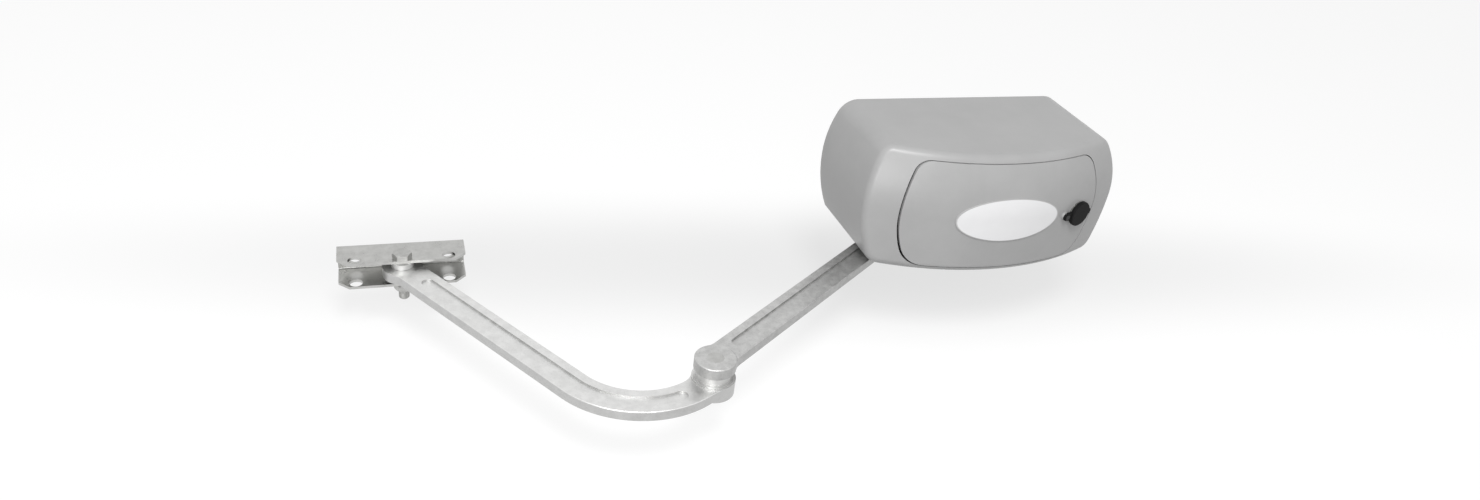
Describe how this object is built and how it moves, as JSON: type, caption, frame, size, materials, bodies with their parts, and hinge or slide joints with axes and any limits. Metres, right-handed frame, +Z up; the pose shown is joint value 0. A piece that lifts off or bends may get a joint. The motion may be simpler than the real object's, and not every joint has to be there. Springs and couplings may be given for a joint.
{
  "type": "swing gate operator",
  "caption": "Wall-mounted articulated-arm swing gate operator with a bowed cover, lockable hatch, cast straight arm, curved arm and channel bracket for the gate leaf.",
  "frame": {"origin": "centre of the wall anchor pattern, on the wall face of the wall plate", "axes": "+X along the wall, away from the gate; +Y into the wall; +Z up"},
  "size_m": [0.8368, 0.3035, 0.1998],
  "materials": {
    "housing_plastic": "satin moulded ABS",
    "badge_white": "gloss",
    "black_rubber": "matt",
    "arm_cast": "die cast, lightly blasted",
    "zinc_steel": "zinc plated",
    "case_cast": "as cast",
    "gear_steel": "machined",
    "bronze": "machined",
    "lock_metal": "polished",
    "black_plastic": "matt",
    "board_green": "solder mask",
    "motor_paint": "satin paint",
    "copper_winding": "enamelled",
    "magnet_ferrite": "sintered"
  },
  "bodies": {
    "operator_base": {"wall_plate": "zinc_steel", "plate_screws": "zinc_steel", "gear_case": "case_cast", "case_gasket": "black_rubber", "gear_lid": "case_cast", "lid_screws": "zinc_steel", "output_bearings": "gear_steel", "shaft_seal": "black_rubber", "intermediate_bearings": "gear_steel", "motor_flange": "case_cast", "motor_can": "motor_paint", "motor_end_cap": "case_cast", "motor_magnets": "magnet_ferrite", "motor_bearings": "gear_steel", "brush_holder": "black_plastic", "worm_bush": "bronze", "transformer_core": "gear_steel", "transformer_coil": "copper_winding", "board_carrier": "black_plastic", "control_board": "board_green", "terminals_and_relays": "black_plastic", "limit_switches": "black_plastic", "switch_bracket": "zinc_steel", "bottom_tray": "housing_plastic", "tray_screws": "zinc_steel", "cable_gland": "black_plastic", "cover": "housing_plastic", "hinge_pins": "zinc_steel"},
    "hatch_door": {"hatch": "housing_plastic", "badge_plate": "badge_white", "lock_barrel": "lock_metal", "lock_nut": "lock_metal", "cap_rivet": "zinc_steel"},
    "lock_plug_body": {"lock_plug": "lock_metal", "lock_cam": "lock_metal"},
    "lock_cap_body": {"lock_cap": "black_rubber"},
    "output_body": {"output_shaft": "gear_steel", "output_gear": "gear_steel", "gear_key": "gear_steel", "limit_cams": "black_plastic", "straight_arm": "arm_cast", "arm_washer": "zinc_steel", "arm_screw": "zinc_steel", "elbow_pin": "zinc_steel", "elbow_washer": "zinc_steel", "elbow_clip": "zinc_steel"},
    "intermediate_body": {"intermediate_shaft": "gear_steel", "worm_wheel": "bronze"},
    "rotor_body": {"rotor_shaft": "gear_steel", "armature": "gear_steel"},
    "release_lever_body": {"release_lever": "zinc_steel"},
    "release_fork_body": {"release_fork": "zinc_steel"},
    "clutch_ring_body": {"clutch_ring": "gear_steel"},
    "curved_arm_body": {"curved_arm": "arm_cast", "elbow_bush": "zinc_steel", "gate_bush": "bronze"},
    "gate_bracket_body": {"gate_bracket": "zinc_steel", "hinge_bolt": "zinc_steel", "bolt_nut": "zinc_steel", "bracket_spacers": "zinc_steel"}
  },
  "joints": [
    {"name": "output_swing", "type": "hinge", "parent": "operator_base", "child": "output_body", "pos_m": [-0.088, -0.0655, 0], "axis": [0, 0, 1], "range_deg": [-20, 90]},
    {"name": "intermediate_turn", "type": "hinge", "parent": "operator_base", "child": "intermediate_body", "pos_m": [-0.04, -0.0655, 0], "axis": [0, 0, 1], "range_deg": [-270, 60]},
    {"name": "rotor_turn", "type": "hinge", "parent": "operator_base", "child": "rotor_body", "pos_m": [0, -0.035, -0.0185], "axis": [1, 0, 0], "range_deg": [-8100, 1800]},
    {"name": "elbow_hinge", "type": "hinge", "parent": "output_body", "child": "curved_arm_body", "pos_m": [-0.352, -0.2635, -0.0885], "axis": [0, 0, 1], "range_deg": [-60, 70]},
    {"name": "gate_bracket_hinge", "type": "hinge", "parent": "curved_arm_body", "child": "gate_bracket_body", "pos_m": [-0.61874, -0.0354, -0.0975], "axis": [0, 0, 1], "range_deg": [-50, 115]},
    {"name": "hatch_hinge", "type": "hinge", "parent": "operator_base", "child": "hatch_door", "pos_m": [-0.138, -0.1245, 0], "axis": [0, 0, -1], "range_deg": [0, 90]},
    {"name": "lock_turn", "type": "hinge", "parent": "hatch_door", "child": "lock_plug_body", "pos_m": [0.094, -0.1504, -0.005], "axis": [-0.3032, 0.9529, 0], "range_deg": [0, 90]},
    {"name": "lock_cap_swing", "type": "hinge", "parent": "hatch_door", "child": "lock_cap_body", "pos_m": [0.07399, -0.15677, -0.005], "axis": [0.3032, -0.9529, 0], "range_deg": [0, 100]},
    {"name": "release_turn", "type": "hinge", "parent": "operator_base", "child": "release_lever_body", "pos_m": [-0.04, -0.1055, -0.0005], "axis": [0, -1, 0], "range_deg": [0, 90]},
    {"name": "fork_lift", "type": "slide", "parent": "operator_base", "child": "release_fork_body", "axis": [0, 0, 1], "range_m": [0, 0.00401]},
    {"name": "ring_lift", "type": "slide", "parent": "intermediate_body", "child": "clutch_ring_body", "axis": [0, 0, 1], "range_m": [0, 0.00401]}
  ],
  "couplings": [
    {"joint": "intermediate_turn", "follows": "output_swing", "ratio": -3},
    {"joint": "rotor_turn", "follows": "output_swing", "ratio": -90},
    {"joint": "fork_lift", "follows": "release_turn", "m_per_rad": 0.0025465},
    {"joint": "ring_lift", "follows": "release_turn", "m_per_rad": 0.0025465}
  ]
}
